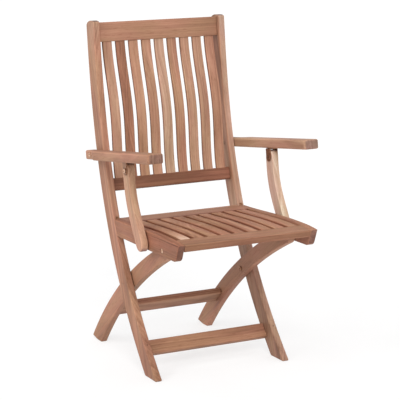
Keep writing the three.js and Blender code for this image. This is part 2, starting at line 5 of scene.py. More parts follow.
import bmesh
import bpy
from mathutils import Matrix, Vector


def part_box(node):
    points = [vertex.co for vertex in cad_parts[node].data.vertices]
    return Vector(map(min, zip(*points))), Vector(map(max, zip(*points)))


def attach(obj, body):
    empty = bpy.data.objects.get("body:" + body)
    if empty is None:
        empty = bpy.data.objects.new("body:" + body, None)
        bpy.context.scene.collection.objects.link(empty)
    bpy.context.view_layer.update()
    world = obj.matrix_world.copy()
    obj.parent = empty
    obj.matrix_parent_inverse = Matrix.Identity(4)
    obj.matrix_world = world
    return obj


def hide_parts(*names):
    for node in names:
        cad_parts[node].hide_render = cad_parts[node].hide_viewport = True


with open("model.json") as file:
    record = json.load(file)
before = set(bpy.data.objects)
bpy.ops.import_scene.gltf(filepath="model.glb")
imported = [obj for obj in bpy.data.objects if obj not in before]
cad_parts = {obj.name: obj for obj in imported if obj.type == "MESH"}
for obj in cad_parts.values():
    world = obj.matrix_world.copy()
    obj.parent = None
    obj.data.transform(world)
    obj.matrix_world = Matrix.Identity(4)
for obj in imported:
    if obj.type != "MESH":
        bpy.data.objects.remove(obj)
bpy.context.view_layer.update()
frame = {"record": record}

# Sizes

# Lengths are in millimetres, in the CAD's own layout before its origin moves to the box's middle.
# A place in the side view is (y, z), with y towards the rear and z up. A board's shares are where
# it starts and ends along its curve.
MM = 0.001
FIT_GAP = 0.3
OVERRUN = 10.0
HALF_WIDTH = 206.0
BOARD = 19.5
LAYER_GAP = 2.0
STILE_INNER = HALF_WIDTH - BOARD
LEG_OUTER = STILE_INNER - LAYER_GAP
LEG_INNER = LEG_OUTER - BOARD
EAR_INNER = HALF_WIDTH + 1.0
EAR_THICK = 2.5
EAR_HALF = 12.5
EAR_BEND = 3.2
SUPPORT_INNER = EAR_INNER + EAR_THICK + FIT_GAP
SUPPORT_OUTER = SUPPORT_INNER + BOARD
EAR_OUTER = SUPPORT_OUTER + FIT_GAP + EAR_THICK
ARM_INNER = HALF_WIDTH + LAYER_GAP

STILE_WIDTH = 54.5
STILE_HALF = STILE_WIDTH / 2
STILE_CROWN = 14.0
STILE_CROWN_SQUARE = 0.35
LEG_TOP_WIDTH, LEG_FOOT_WIDTH = 42.0, 53.0
LEG_SOLE = 28.0
LEG_FOOT_RISE = math.radians(10)
SUPPORT_HALF = 20.0
SUPPORT_TAIL = 26.0
SEAT_PIVOT = (-245.0, 375.5)
CROSSING = (22.0, 229.0)
# The crossing bolt tells how far the CAD's origin moved
SHIFT_Y = sum(v[1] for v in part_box("right_crossing_bolt")) / 2 / MM - CROSSING[0]
SEAT_REAR = (90.0, 404.6)
SEAT_BROW = (-292.0, 412.5)
SEAT_LIP = (-350.0, 407.5)
ARM_PIVOT = (158.0, 578.0)
SUPPORT_TOP = (-74.0, 566.0)
SUPPORT_LOW = (-146.0, 382.0)

ARM_TILT = math.radians(6.3)
ARM_THICK = 26.0
ARM_WIDTH = 45.0
ARM_REACH = 442.0
ARM_CORNER = 13.0
ARM_FLARE = (-62.0, -35.0, -9.0)
ARM_TAIL = 36.0
ARM_TAIL_CORNER = 3.0
ARM_TONGUE = 30.0

TOP_RAIL_SHARES = (0.9543, 1.0076)
TOP_RAIL_THICK, TOP_RAIL_INSET = 26.0, 12.0
LOW_RAIL_SHARES = (0.5296, 0.5656)
LOW_RAIL_THICK, LOW_RAIL_INSET = 20.0, 15.0
FRONT_STRETCHER_SHARES = (0.0665, 0.1034)
FRONT_STRETCHER_INSET = 34.0
REAR_STRETCHER_SHARES = (0.7195, 0.7985)
STRETCHER_THICK = 18.0

SLAT_COUNT = 9
SLAT_WIDTH = 28.0
BACK_SLAT_SHARES = (0.5456, 0.967)
BACK_SLAT_THICK = 10.0
BACK_SLAT_INSET = 16.0
BACK_SLAT_BOW = 24.0
BACK_SLAT_LEAN = 0.16
SEAT_SIDE_GAP = 13.0
SEAT_SLAT_THICK = 14.0
SEAT_SLAT_REAR, SEAT_SLAT_FRONT = 9.0, -296.0

SEAT_CROSS_THICK = 19.0
SEAT_LEDGE = 13.0
REAR_RAIL_REAR = 84.0
FRONT_RAIL_FALL = 5.0
FRONT_RAIL_LEAN = 7.0
BATTEN_Y = -148.0
BATTEN_HALF_WIDTH, BATTEN_HALF_DEPTH = 13.0, 9.0
RAIL_BOTTOM_REAR, RAIL_BOTTOM_FRONT = 359.0, 361.0
RAIL_CORNER = 19.0
RAIL_REAR_CORNER = 3.0
RAIL_FACE_SLANT = 14.0
RAIL_FACE_LEAN = math.radians(25)
# The rail's top line leaves out these lengths before and after the brow, where two curves meet
BROW_BEFORE, BROW_AFTER = 0.5, 0.3
SEAT_BORE, SEAT_BORE_DEPTH = 7.6, 3.6

REST_THICK = 2.5
REST_WIDTH = 9.0
REST_RISE = 54.0
REST_FOOT = 15.0
PEG_SHARE = 0.0785
PEG_RADIUS, PEG_DEPTH, PEG_PROUD, PEG_EASE = 1.9, 5.0, 0.15, 0.2
SHANK, SHANK_EASE = 3.5, 0.5
HEAD, HEAD_DEEP, HEAD_EASE, SOCKET_EASE = 7.0, 3.0, 0.4, 0.35
STUB_PROUD, STUB_EASE = 2.8, 0.4
WASHER_BORE, WASHER_RADIUS, WASHER_EASE = 3.8, 9.0, 0.3
WELD = 0.01
STRIP_EASE, STRIP_LEAST_WIDTH = 0.5, 0.6

# How far each kind of board's edges are rounded over
EASE = 2.6
SLAT_EASE, CROSS_EASE, ARM_EASE, REST_EASE = 2.4, 2.2, 4.5, 0.5
CORNER_EXTRA = 0.25
# A corner is rounded from this turn on, and takes up to this share of its sides
LEAST_TURN = math.radians(24)
MOST_CUT_SHARE = 0.46
# Holds an outline's points back where it is drawn in at a very sharp corner
LEAST_SPREAD = 0.5

# Steps along curves and round turned pieces
LONG_STEPS, SLAT_STEPS, MIDDLE_STEPS = 72, 48, 40
EASE_STEPS, CORNER_STEPS, STRIP_STEPS = 4, 5, 3
CROWN_STEPS, ARC_STEPS, FLARE_STEPS = 18, 10, 16
RAIL_REAR_STEPS, RAIL_LIP_STEPS, REAR_LINE_STEPS, REST_STEPS = 10, 14, 8, 12
EAR_STEPS, BEND_STEPS, DOME_STEPS = 12, 8, 8
LENGTH_STEPS, HALVINGS = 200, 40
TURNED_SIDES, PEG_SIDES = 48, 24


# Curves

class Curve:
    """A cubic curve in a plane, read by a share from 0 to 1."""

    def __init__(self, *handles):
        self.handles = [Vector(h) for h in handles]

    def at(self, share):
        a, b, c, d = self.handles
        rest = 1 - share
        return (a * rest ** 3 + b * 3 * rest ** 2 * share
                + c * 3 * rest * share ** 2 + d * share ** 3)

    def run(self, share):
        """The direction in which the curve goes on."""
        a, b, c, d = self.handles
        rest = 1 - share
        slope = ((b - a) * rest ** 2 + (c - b) * 2 * rest * share + (d - c) * share ** 2)
        return slope.normalized()

    def length(self):
        points = [self.at(i / LENGTH_STEPS) for i in range(LENGTH_STEPS + 1)]
        return sum((q - p).length for p, q in zip(points, points[1:]))


STILE = Curve((-152.3, 0), (115.1, 286.8), (187, 591), (210.4, 937))
LEG = Curve(SEAT_PIVOT, (-59.3, 296.8), (133.5, 180), (288, 0))
SUPPORT = Curve(SUPPORT_TOP, (-77.9, 492), (-96, 462), SUPPORT_LOW)
SEAT_TOP = Curve(SEAT_REAR, (-34, 404), (-150, 417), SEAT_BROW)
SEAT_FALL = Curve(SEAT_BROW, (-315, 411.6), (-334, 410), SEAT_LIP)


def beside(curve, share, offset):
    """The point at a share of a curve, moved to the left of its run. A share over 1 lies
    straight on from the end."""
    inside = min(share, 1.0)
    run = curve.run(inside)
    point = curve.at(inside) + run * ((share - inside) * curve.length())
    return point + Vector((-run.y, run.x)) * offset


def run_beside(curve, shares, offset, steps):
    """Points beside a curve between two shares. The offset is a number, or a function of how
    far along this stretch a point is, from 0 to 1."""
    points = []
    for i in range(steps + 1):
        part = i / steps
        away = offset(part) if callable(offset) else offset
        points.append(beside(curve, shares[0] + (shares[1] - shares[0]) * part, away))
    return points


def share_where(value_at, target):
    """The share at which a value that only rises or only falls reaches its target."""
    low, high = 0.0, 1.0
    falls = value_at(low) > value_at(high)
    for _ in range(HALVINGS):
        middle = (low + high) / 2
        if (value_at(middle) > target) == falls:
            low = middle
        else:
            high = middle
    return (low + high) / 2


def seat_point(y):
    """The point of the seat's top line at y."""
    curve = SEAT_TOP if y > SEAT_BROW[0] else SEAT_FALL
    return curve.at(share_where(lambda share: curve.at(share).x, y))


def seat_line(from_y, to_y, steps):
    return [seat_point(from_y + (to_y - from_y) * i / steps) for i in range(steps + 1)]


def quarter_turn(steps):
    """Angles from 0 to a right angle."""
    return [math.pi / 2 * k / steps for k in range(steps + 1)]


def crown(start, end, along, height, square=1.0):
    """Half an ellipse between two points, squarer towards its end when square is under 1."""
    middle, arm = (start + end) / 2, (start - end) / 2
    points = []
    for i in range(1, CROWN_STEPS):
        turn = math.pi * i / CROWN_STEPS
        full = square if turn > math.pi / 2 else 1.0
        points.append(middle + arm * math.cos(turn) + along * (height * math.sin(turn) ** full))
    return points


def arc(centre, radius, start, end):
    return [Vector((centre[0] + radius * math.cos(a), centre[1] + radius * math.sin(a)))
            for a in (start + (end - start) * i / ARC_STEPS for i in range(ARC_STEPS + 1))]


# Outlines

def board_outline(curve, shares, near, far, steps, crowns=(0, 0), square=1.0):
    """A board that follows a curve, from an offset near to an offset far, with a crown of the
    given height over its start and over its end."""
    near_side = run_beside(curve, shares, near, steps)
    far_side = run_beside(curve, shares, far, steps)[::-1]
    points = list(near_side)
    if crowns[1]:
        points += crown(near_side[-1], far_side[0], curve.run(shares[1]), crowns[1], square)
    points += far_side
    if crowns[0]:
        points += crown(far_side[-1], near_side[0], -curve.run(shares[0]), crowns[0])
    return points


def cross_outline(curve, shares, front, thick):
    """The section of a board that runs across the chair, its front face at an offset."""
    return board_outline(curve, shares, front - thick, front, 1)


def cut_below(points, start=0.0, rise=0.0):
    """The outline without what lies below a line that rises rearwards from the floor at start."""
    def over(p):
        return p.y - (p.x - start) * math.tan(rise)

    made = []
    for p, q in zip(points, points[1:] + points[:1]):
        if over(p) >= 0:
            made.append(p)
        if over(p) * over(q) < 0:
            made.append(p + (q - p) * (over(p) / (over(p) - over(q))))
    return made


def is_left_turning(points):
    area = sum(p.x * q.y - q.x * p.y for p, q in zip(points, points[1:] + points[:1]))
    return area > 0


def softened(points, radius):
    """The outline with its sharp corners rounded, and how much each point is a corner."""
    made, corner = [], []
    for i, point in enumerate(points):
        into, out = point - points[i - 1], points[(i + 1) % len(points)] - point
        turn = abs(into.angle_signed(out, 0.0))
        if turn < LEAST_TURN:
            made.append(point.copy())
            corner.append(0.0)
            continue
        cut = min(radius * math.tan(turn / 2), min(into.length, out.length) * MOST_CUT_SHARE)
        start, end = point - into.normalized() * cut, point + out.normalized() * cut
        for k in range(CORNER_STEPS + 1):
            # Weights of the three points, for an arc that leaves both sides smoothly
            t = k / CORNER_STEPS
            a, b, c = (1 - t) ** 2, 2 * t * (1 - t) * math.cos(turn / 2), t ** 2
            total = a + b + c
            made.append((start * a + point * b + end * c) / total)
            corner.append(math.sin(math.pi * t) * (2 * total - 1))
    return made, corner


def inset(points, depth):
    """The outline drawn in by a depth along the mean normal of its sides."""
    made = []
    for i, point in enumerate(points):
        into = (point - points[i - 1]).normalized()
        out = (points[(i + 1) % len(points)] - point).normalized()
        normal = Vector((-into.y, into.x)) + Vector((-out.y, out.x))
        made.append(point + normal * (depth / max(normal.length_squared / 2, LEAST_SPREAD)))
    return made


# Meshes

def join_rings(mesh, rings):
    """Faces from each ring of corners to the next. A ring may be a single point."""
    for lower, upper in zip(rings, rings[1:]):
        for i in range(max(len(lower), len(upper))):
            j = i + 1
            corners = [lower[i % len(lower)], lower[j % len(lower)],
                       upper[j % len(upper)], upper[i % len(upper)]]
            unique = list(dict.fromkeys(corners))
            if len(unique) > 2:
                mesh.faces.new(unique)


def plank(outline, low, high, ease=EASE):
    """A board as a bmesh: an outline in (u, v), its thickness along w, and every edge eased.

    The float layer edge is 1 along the rounded edges, where the wood wears paler. The layer nook
    is 1 on the two faces across w, where shade is painted in the gaps between boards that stand
    close together."""
    points = [Vector(p) for p in outline]
    if not is_left_turning(points):
        points.reverse()
    points, corner = softened(points, ease + CORNER_EXTRA)
    mesh = bmesh.new()
    edge = mesh.verts.layers.float.new("edge")
    gap_shade = mesh.verts.layers.float.new("gap_shade")
    turns = quarter_turn(EASE_STEPS)
    rings = []
    for level, inwards, turns_here in ((low, 1, turns), (high, -1, turns[::-1])):
        for turn in turns_here:
            ring = []
            drawn = inset(points, ease * (1 - math.sin(turn)))
            depth = level + inwards * ease * (1 - math.cos(turn))
            for p, c in zip(drawn, corner):
                vert = mesh.verts.new((p.x, p.y, depth))
                vert[edge] = max(c, math.sin(turn * 2))
                vert[gap_shade] = 1 - math.sin(turn)
                ring.append(vert)
            rings.append(ring)
    join_rings(mesh, rings)
    mesh.faces.new(list(reversed(rings[0])))
    mesh.faces.new(rings[-1])
    return mesh


def bored(mesh, centre, radius, low, high):
    """The bmesh less a straight bore along w."""
    board_data = bpy.data.meshes.new("bored")
    mesh.to_mesh(board_data)
    mesh.free()
    drill = bmesh.new()
    made = bmesh.ops.create_cone(drill, cap_ends=True, segments=TURNED_SIDES, radius1=radius,
                                 radius2=radius, depth=high - low)
    bmesh.ops.translate(drill, verts=made["verts"], vec=(*centre, (low + high) / 2))
    drill_data = bpy.data.meshes.new("bore")
    drill.to_mesh(drill_data)
    drill.free()
    board = bpy.data.objects.new("bored", board_data)
    cutter = bpy.data.objects.new("bore", drill_data)
    for thing in (board, cutter):
        bpy.context.scene.collection.objects.link(thing)
    cut = board.modifiers.new("cut", "BOOLEAN")
    cut.operation = "DIFFERENCE"
    cut.solver = "EXACT"
    cut.object = cutter
    bpy.context.view_layer.update()
    result = bmesh.new()
    result.from_object(board, bpy.context.evaluated_depsgraph_get())
    for thing in (board, cutter):
        bpy.data.objects.remove(thing)
    for data in (board_data, drill_data):
        bpy.data.meshes.remove(data)
    return result


def lathe(profile, sides=TURNED_SIDES):
    """A turned piece about w. Profile points are (radius, height)."""
    mesh = bmesh.new()
    rings = []
    for radius, height in profile:
        if radius == 0:
            rings.append([mesh.verts.new((0, 0, height))])
            continue
        rings.append([mesh.verts.new((radius * math.cos(a), radius * math.sin(a), height))
                      for a in (math.tau * i / sides for i in range(sides))])
    join_rings(mesh, rings)
    return mesh


def from_side(u, v, w):
    """A place in the chair's layout, from an outline in YZ with its thickness along X."""
    return Vector((w, u, v))


def from_arm(u, v, w):
    """The same from an outline in the armrest's own plan, its thickness along its own up."""
    y = v * math.cos(ARM_TILT) + w * math.sin(ARM_TILT)
    z = -v * math.sin(ARM_TILT) + w * math.cos(ARM_TILT)
    return Vector((u, ARM_PIVOT[0] + y, ARM_PIVOT[1] + z))


# Shader nodes

def node(tree, kind, **settings):
    made = tree.nodes.new(kind)
    for key, value in settings.items():
        setattr(made, key, value)
    return made


def feed(tree, value, socket):
    """Sets a socket to a number, a colour or a vector, or links another socket to it."""
    if isinstance(value, bpy.types.NodeSocket):
        tree.links.new(value, socket)
    elif isinstance(value, tuple) and len(socket.default_value) == 4:
        socket.default_value = (*value, 1.0)
    else:
        socket.default_value = value


def math_node(tree, operation, *values, clamp=False):
    made = node(tree, "ShaderNodeMath", operation=operation, use_clamp=clamp)
    for value, socket in zip(values, made.inputs):
        feed(tree, value, socket)
    return made.outputs[0]


def vector_math(tree, operation, *values):
    made = node(tree, "ShaderNodeVectorMath", operation=operation)
    for value, socket in zip(values, made.inputs):
        feed(tree, value, socket)
    return made.outputs["Value"] if operation in ("LENGTH", "DOT_PRODUCT") else made.outputs[0]


def attribute(tree, name, output="Fac"):
    return node(tree, "ShaderNodeAttribute", attribute_name=name).outputs[output]


def noise(tree, place, scale, detail, rough=0.5, dimensions="3D", output="Fac"):
    """Noise over a vector, or over one distance where dimensions is 1D."""
    made = node(tree, "ShaderNodeTexNoise", noise_dimensions=dimensions)
    made.inputs["Scale"].default_value = scale
    made.inputs["Detail"].default_value = detail
    made.inputs["Roughness"].default_value = rough
    feed(tree, place, made.inputs["W" if dimensions == "1D" else "Vector"])
    return made.outputs[output]


def stretched_noise(tree, place, scales, detail, rough=0.5, output="Fac"):
    """Noise with a scale of its own along each axis."""
    scaled = vector_math(tree, "MULTIPLY", place, scales)
    return noise(tree, scaled, 1.0, detail, rough, output=output)


def remap(tree, value, low, high, to_low=0.0, to_high=1.0, kind="LINEAR"):
    """The value moved from the range low to high into another, and held inside that."""
    made = node(tree, "ShaderNodeMapRange", interpolation_type=kind)
    for given, socket in zip((value, low, high, to_low, to_high), made.inputs):
        feed(tree, given, socket)
    return made.outputs[0]


def ramp(tree, value, stops):
    made = node(tree, "ShaderNodeValToRGB")
    elements = made.color_ramp.elements
    while len(elements) < len(stops):
        elements.new(0.5)
    for element, (place, colour) in zip(elements, stops):
        element.position = place
        element.color = (*colour, 1.0)
    feed(tree, value, made.inputs[0])
    return made.outputs[0]


def mix(tree, share, a, b, blend="MIX"):
    made = node(tree, "ShaderNodeMix", data_type="RGBA", blend_type=blend)
    # Sockets 6 and 7 are the two colours
    for value, socket in ((share, 0), (a, 6), (b, 7)):
        feed(tree, value, made.inputs[socket])
    return made.outputs[2]


def tinted(tree, share, colour, tint):
    """The colour, multiplied by a tint by as much as the share."""
    return mix(tree, share, colour, mix(tree, 1.0, colour, tint, "MULTIPLY"))


def add_centred(tree, value, source, share):
    """The value plus a share of how far the source is from its middle, 0.5."""
    return math_node(tree, "MULTIPLY_ADD", math_node(tree, "SUBTRACT", source, 0.5), share, value)


def add_bump(tree, shader, height, strength, distance):
    bump = node(tree, "ShaderNodeBump")
    bump.inputs["Strength"].default_value = strength
    bump.inputs["Distance"].default_value = distance
    feed(tree, height, bump.inputs["Height"])
    feed(tree, bump.outputs[0], shader.inputs["Normal"])


def new_material(name):
    material = bpy.data.materials.new(name)
    material.use_nodes = True
    return material, material.node_tree, material.node_tree.nodes["Principled BSDF"]


# Materials

BLEACHED = (0.72, 0.50, 0.37)
# Colours that the wood's own is multiplied by
OLIVE, PINK = (0.96, 1.01, 0.94), (1.04, 0.97, 1.01)
REDDER, GREYER = (1.0, 0.86, 0.80), (1.0, 1.2, 1.36)
END_GRAIN = (0.60, 0.615, 0.71)
SANDED = (1.28, 1.27, 1.26)
DASH_TINT, PORE_TINT = (0.66, 0.55, 0.48), (0.62, 0.55, 0.5)
# Painted shade in the gaps between slats
GAP_SHADE_TINT = (0.52, 0.34, 0.25)
# Noises of the teak: cells a metre along, across and through the grain, detail and roughness.
# A minus only mirrors the noise
HEART_BEND = ((3.84, 8.0, 8.0), 2.0, 0.5)
FIBRE = ((14.0, 900.0, 900.0), 3.0, 0.6)
STREAK = ((3.0, 95.0, 95.0), 2.0, 0.55)
CLOUD = ((5.0, 16.0, 16.0), 2.0, 0.5)
DASH = ((42.0, 380.0, 380.0), 1.0, 0.5)
HUE = ((-5.0, 24.0, 24.0), 2.0, 0.5)
PORE = ((150.0, 2400.0, 2400.0), 1.0, 0.5)
# The same by the distance from the heart
RING, FINE_RING = (190.0, 2.5, 0.62), (780.0, 1.0, 0.5)
# How far the heart bends, in metres
HEART_REACH = (0.0, 0.014, 0.014)
# A mark comes up between these values of its noise
DASH_RANGE, HUE_RANGE, PORE_RANGE = (0.60, 0.74), (0.35, 0.65), (0.66, 0.74)
# How much each of them counts in how pale the wood is
RING_SHARE, CLOUD_SHARE, FIBRE_SHARE, FINE_RING_SHARE = 0.66, 0.60, 0.36, 0.20
STREAK_SHARE, PLAIN_STREAK_SHARE = 0.45, 0.17
# How strongly each kind of mark tints it
SANDED_SHARE, DASH_SHARE, PORE_SHARE = 0.85, 0.55, 0.38
# End grain comes up between these, where 1 is a face square to the grain
END_RANGE = (0.50, 0.86)
STREAK_RANGE, ROUGHNESS_RANGE = (0.3, 0.7), (0.54, 0.70)
# How much each mark counts in the bump, and the bump's strength and distance in metres
FIBRE_RISE, RING_RISE, PORE_DEPTH = 0.7, 0.5, 0.6
WOOD_BUMP, BRASS_BUMP = (0.35, 0.0004), (0.25, 0.0002)
# Noises of the brass, in the same way
BLOTCH, BRUSHED = (260.0, 4.0, 0.6), ((2600.0, 300.0, 300.0), 2.0)
BLOTCH_RANGE, BRASS_ROUGHNESS_RANGE = (0.25, 0.75), (0.26, 0.5)


def teak(name, pale, mid, deep, gap_shade_depth=0.0):
    """Oiled teak. It reads attributes of the mesh: grain, the place in the plank in metres
    (along, across, through); tone, the plank's own (lightness, redness, figure) with painted shade
    added in places; fibre, the grain's direction on the chair; edge, and with a gap_shade_depth
    also nook, which paints shade in the gaps."""
    material, tree, shader = new_material(name)
    grain = attribute(tree, "grain", "Vector")
    tones = node(tree, "ShaderNodeSeparateXYZ")
    feed(tree, attribute(tree, "tone", "Vector"), tones.inputs[0])
    lightness, redness, figure = tones.outputs

    # Growth rings: distance from a far heart, bent by slow noise along the plank
    bend = stretched_noise(tree, grain, *HEART_BEND, output="Color")
    bent = vector_math(tree, "MULTIPLY_ADD", bend, HEART_REACH, grain)
    from_heart = vector_math(tree, "LENGTH", vector_math(tree, "MULTIPLY", bent, (0.0, 1.0, 1.0)))
    ring, fine_ring = (noise(tree, from_heart, *kind, "1D") for kind in (RING, FINE_RING))

    # Finer marks, all drawn out along the grain
    fibre, streak, cloud, dash, hue, pore = (
        stretched_noise(tree, grain, *kind) for kind in (FIBRE, STREAK, CLOUD, DASH, HUE, PORE))
    dash = remap(tree, dash, *DASH_RANGE)
    hue = remap(tree, hue, *HUE_RANGE)
    pore = remap(tree, pore, *PORE_RANGE)

    # All of them make one value from dark to pale
    value = add_centred(tree, 0.5, ring, math_node(tree, "MULTIPLY", figure, RING_SHARE))
    value = add_centred(tree, value, streak, math_node(tree, "MULTIPLY_ADD", figure, STREAK_SHARE,
                                                       PLAIN_STREAK_SHARE))
    for source, share in ((cloud, CLOUD_SHARE), (fibre, FIBRE_SHARE),
                          (fine_ring, FINE_RING_SHARE)):
        value = add_centred(tree, value, source, share)
    value = math_node(tree, "ADD", value, lightness)
    colour = ramp(tree, math_node(tree, "MULTIPLY", value, 0.8),
                  [(0.05, deep), (0.4, mid), (0.75, pale), (1.0, BLEACHED)])
    colour = mix(tree, hue, mix(tree, 1.0, colour, PINK, "MULTIPLY"),
                 mix(tree, 1.0, colour, OLIVE, "MULTIPLY"))

    # A plank with a redness over 0 is redder, and one below 0 greyer
    for sign, tint in ((1.0, REDDER), (-1.0, GREYER)):
        share = math_node(tree, "MULTIPLY", redness, sign, clamp=True)
        colour = tinted(tree, share, colour, tint)

    # End grain drinks the oil and darkens
    normal = node(tree, "ShaderNodeTexCoord").outputs["Normal"]
    facing = vector_math(tree, "DOT_PRODUCT", normal, attribute(tree, "fibre", "Vector"))
    end = remap(tree, math_node(tree, "ABSOLUTE", facing), *END_RANGE, kind="SMOOTHSTEP")
    colour = tinted(tree, end, colour, END_GRAIN)

    # Sanded edges are a little paler, dashes and pores a little darker
    sanded = math_node(tree, "MULTIPLY", attribute(tree, "edge"), cloud)
    marks = [(sanded, SANDED_SHARE, SANDED), (dash, DASH_SHARE, DASH_TINT),
             (pore, PORE_SHARE, PORE_TINT)]
    # With a gap_shade_depth, shade is painted on the faces in the gaps
    if gap_shade_depth:
        marks.append((attribute(tree, "gap_shade"), gap_shade_depth, GAP_SHADE_TINT))
    for mark, depth, tint in marks:
        colour = tinted(tree, math_node(tree, "MULTIPLY", mark, depth), colour, tint)
    feed(tree, colour, shader.inputs["Base Color"])

    feed(tree, remap(tree, streak, *STREAK_RANGE, *ROUGHNESS_RANGE), shader.inputs["Roughness"])
    shader.inputs["Specular IOR Level"].default_value = 0.28
    height = math_node(tree, "MULTIPLY_ADD", fibre, FIBRE_RISE,
                       math_node(tree, "MULTIPLY", ring, RING_RISE))
    height = math_node(tree, "SUBTRACT", height, math_node(tree, "MULTIPLY", pore, PORE_DEPTH))
    add_bump(tree, shader, height, *WOOD_BUMP)
    return material


def old_brass(name, dark, middle, bright):
    """Dull brass, blotched and finely brushed."""
    material, tree, shader = new_material(name)
    place = node(tree, "ShaderNodeTexCoord").outputs["Object"]
    blotch = noise(tree, place, *BLOTCH)
    brushed = stretched_noise(tree, place, *BRUSHED)
    colour = ramp(tree, blotch, [(0.30, dark), (0.52, middle), (0.78, bright)])
    feed(tree, colour, shader.inputs["Base Color"])
    shader.inputs["Metallic"].default_value = 1.0
    feed(tree, remap(tree, blotch, *BLOTCH_RANGE, *BRASS_ROUGHNESS_RANGE),
         shader.inputs["Roughness"])
    add_bump(tree, shader, math_node(tree, "ADD", brushed, blotch), *BRASS_BUMP)
    return material


TEAK_FRAME = teak("teak_frame", (0.53, 0.308, 0.204), (0.365, 0.189, 0.118),
                  (0.165, 0.070, 0.040))
# The slats' teak also paints shade in the gaps between them
TEAK_SLATS = teak("teak_slats", (0.52, 0.302, 0.198), (0.355, 0.182, 0.112),
                  (0.16, 0.068, 0.040), gap_shade_depth=0.8)
BRASS = old_brass("brass", (0.13, 0.06, 0.035), (0.30, 0.145, 0.08), (0.52, 0.31, 0.20))
# A paler copy of the same brass for the bolt heads that catch the light, which paints their
# highlight
HIGHLIGHT_BRASS = old_brass("highlight_brass", (0.32, 0.17, 0.10), (0.62, 0.40, 0.28),
                         (0.82, 0.62, 0.49))

# Pieces

LOOKS = random.Random(29)
SLOTS = {s["node"]: s["material_slot"] for s in frame["record"]["subparts"]}
# Painted shade: how much darker the wood is made at the floor, and the height at which it no
# longer is
FOOT_PAINTED_SHADE, FOOT_PAINTED_SHADE_HEIGHT = 0.16, 420.0
# Over 50, so that large faces count more than small ones in the normals
NORMAL_WEIGHT = 90
# The axes of a place (u, v, w)
U, V, W = range(3)


def body_of_node(name):
    for body, nodes in frame["record"]["behaviour"]["bodies"].items():
        if name in nodes:
            return body
    raise KeyError(name)


def look(lightness=0.0, redness=0.0, figure=1.0):
    return Vector((lightness, redness, figure))


def paint_wood(mesh, to_chair, grain, tone, mirrored):
    """Gives a bmesh in outline space the attributes that the teak reads. Each board starts at
    a place of its own in the grain, and painted shade darkens it towards the floor."""
    grain_layer = mesh.verts.layers.float_vector.new("grain")
    tone_layer = mesh.verts.layers.float_vector.new("tone")
    fibre_layer = mesh.verts.layers.float_vector.new("fibre")
    start = Vector([LOOKS.uniform(-0.5, 0.5), LOOKS.uniform(0.03, 0.16),
                    LOOKS.uniform(-0.09, 0.09)])
    axis = (to_chair(*grain["axis"]) - to_chair(0, 0, 0)).normalized()
    if mirrored:
        axis.x = -axis.x
    for vert in mesh.verts:
        vert[grain_layer] = Vector(grain["place"](*vert.co)) * MM + start
        # Painted shade towards the floor
        low = 1 - min(to_chair(*vert.co).z / FOOT_PAINTED_SHADE_HEIGHT, 1.0)
        shifted = tone + look(-FOOT_PAINTED_SHADE * low, 0.0, 0.0)
        for shade in grain["shades"]:
            shifted += shade(*vert.co)
        vert[tone_layer] = shifted
        vert[fibre_layer] = axis


def finish_piece(name, mesh, material, to_chair, mirrored=False, carrier=None):
    """Turns a bmesh in outline space into a piece of the scene. It stands for the CAD node of
    its name, or is carried by the node called carrier."""
    for vert in mesh.verts:
        place = to_chair(*vert.co)
        vert.co = Vector((-place.x if mirrored else place.x, place.y + SHIFT_Y, place.z)) * MM
    bmesh.ops.recalc_face_normals(mesh, faces=mesh.faces)
    for face in mesh.faces:
        face.smooth = True
    data = bpy.data.meshes.new(name + "_look")
    mesh.to_mesh(data)
    mesh.free()
    piece = bpy.data.objects.new(name + "_look", data)
    bpy.context.scene.collection.objects.link(piece)
    data.materials.append(material)
    weighted = piece.modifiers.new("even_normals", "WEIGHTED_NORMAL")
    weighted.keep_sharp = True
    weighted.weight = NORMAL_WEIGHT
    if name in SLOTS:
        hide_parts(name)
        carrier = name
    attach(piece, body_of_node(carrier))


def grain_map(axis, place, *shades):
    """How the grain lies in a board: its axis in (u, v, w), a function from (u, v, w) to
    (along, across, through), and functions that shift the tone from place to place."""
    return {"axis": axis, "place": place, "shades": shades}


def straight_grain(direction, *shades):
    """Grain along one direction of the outline, for a board sawn from a plank."""
    ahead = Vector(direction).normalized()

    def place(u, v, w):
        return (u * ahead.x + v * ahead.y, -u * ahead.y + v * ahead.x, w)

    return grain_map((ahead.x, ahead.y, 0.0), place, *shades)


def cross_grain(*shades):
    """Grain along the board's thickness direction, for a board that runs across the chair."""
    return grain_map((0.0, 0.0, 1.0), lambda u, v, w: (w, v, u), *shades)


def fade(value, start, reach):
    """From 0 at start to 1 where value has gone on by reach."""
    return min(max((value - start) / reach, 0.0), 1.0)


def shift(lightness, redness, *limits):
    """A function that shifts the tone of a place. Each limit is an axis and a fade's start and
    reach along it, and the shift is as strong as the product of the fades."""
    def shade(*place):
        strength = math.prod(fade(place[axis], start, reach) for axis, start, reach in limits)
        return look(lightness, redness, 0.0) * strength

    return shade


def wood(name, mesh, grain, tone, to_chair=from_side, material=TEAK_FRAME, mirrored=False,
         carrier=None):
    paint_wood(mesh, to_chair, grain, tone, mirrored)
    finish_piece(name, mesh, material, to_chair, mirrored, carrier)


def wood_pair(name, make, grain, tones, to_chair=from_side):
    """Both sides of the chair, as the right-hand board and its mirror image."""
    wood("right_" + name, make(), grain, tones[0], to_chair)
    wood("left_" + name, make(), grain, tones[1], to_chair, mirrored=True)


def across_frame(name, outline, grain, tone, ease=EASE, half_length=STILE_INNER):
    """A board that runs across the chair."""
    wood(name, plank(outline, -half_length, half_length, ease), grain, tone)


def brass_pair(name, make, to_chair=from_side, material=BRASS):
    finish_piece("right_" + name, make(), material, to_chair)
    finish_piece("left_" + name, make(), material, to_chair, mirrored=True)


# Back frame

# The stile's foot is made too long and cut off at the floor
stile_points = board_outline(STILE, (0, 1), -STILE_HALF, STILE_HALF, LONG_STEPS,
                             (0, STILE_CROWN), STILE_CROWN_SQUARE)
for corner in (0, -1):
    stile_points[corner] = stile_points[corner] - STILE.run(0) * STILE_WIDTH
stile_points = cut_below(stile_points)
